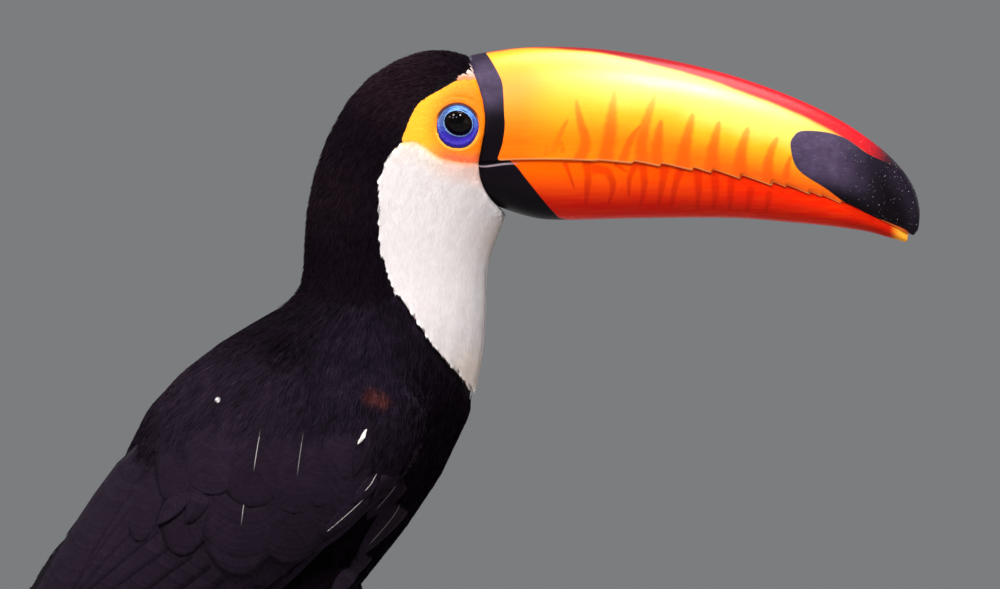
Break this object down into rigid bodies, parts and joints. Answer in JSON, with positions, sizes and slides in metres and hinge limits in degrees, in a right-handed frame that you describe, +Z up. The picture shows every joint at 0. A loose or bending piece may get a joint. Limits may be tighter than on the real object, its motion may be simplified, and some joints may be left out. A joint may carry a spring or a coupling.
{
  "type": "toco toucan",
  "caption": "Life-size black toucan with a white bib and a long orange bill, standing upright with its wings folded and its tail tip on the floor.",
  "frame": {"origin": "middle of the bird's box, on the floor", "axes": "+X the way the bill points, +Y to the bird's left, +Z up"},
  "size_m": [0.4804, 0.1122, 0.3539],
  "materials": {
    "black_feather": "satin",
    "white_feather": "matte",
    "red_feather": "matte",
    "upper_horn": "gloss",
    "lower_horn": "gloss",
    "eye": "polished",
    "eye_skin": "satin",
    "leg_skin": "satin",
    "claw": "satin"
  },
  "bodies": {
    "root": {"head": "black_feather", "neck": "white_feather", "trunk": "black_feather", "uppertail_coverts": "white_feather", "undertail_coverts": "red_feather", "tail": "black_feather", "upper_bill": "upper_horn", "lower_bill": "lower_horn", "eye_right": "eye", "eye_left": "eye", "eyelids_right": "eye_skin", "eyelids_left": "eye_skin", "wing_right": "black_feather", "wing_left": "black_feather", "thigh_right": "black_feather", "thigh_left": "black_feather", "shank_right": "leg_skin", "shank_left": "leg_skin", "toe_inner_front_right": "leg_skin", "toe_inner_front_left": "leg_skin", "claw_inner_front_right": "claw", "claw_inner_front_left": "claw", "toe_outer_front_right": "leg_skin", "toe_outer_front_left": "leg_skin", "claw_outer_front_right": "claw", "claw_outer_front_left": "claw", "toe_outer_back_right": "leg_skin", "toe_outer_back_left": "leg_skin", "claw_outer_back_right": "claw", "claw_outer_back_left": "claw", "toe_inner_back_right": "leg_skin", "toe_inner_back_left": "leg_skin", "claw_inner_back_right": "claw", "claw_inner_back_left": "claw"}
  },
  "joints": []
}
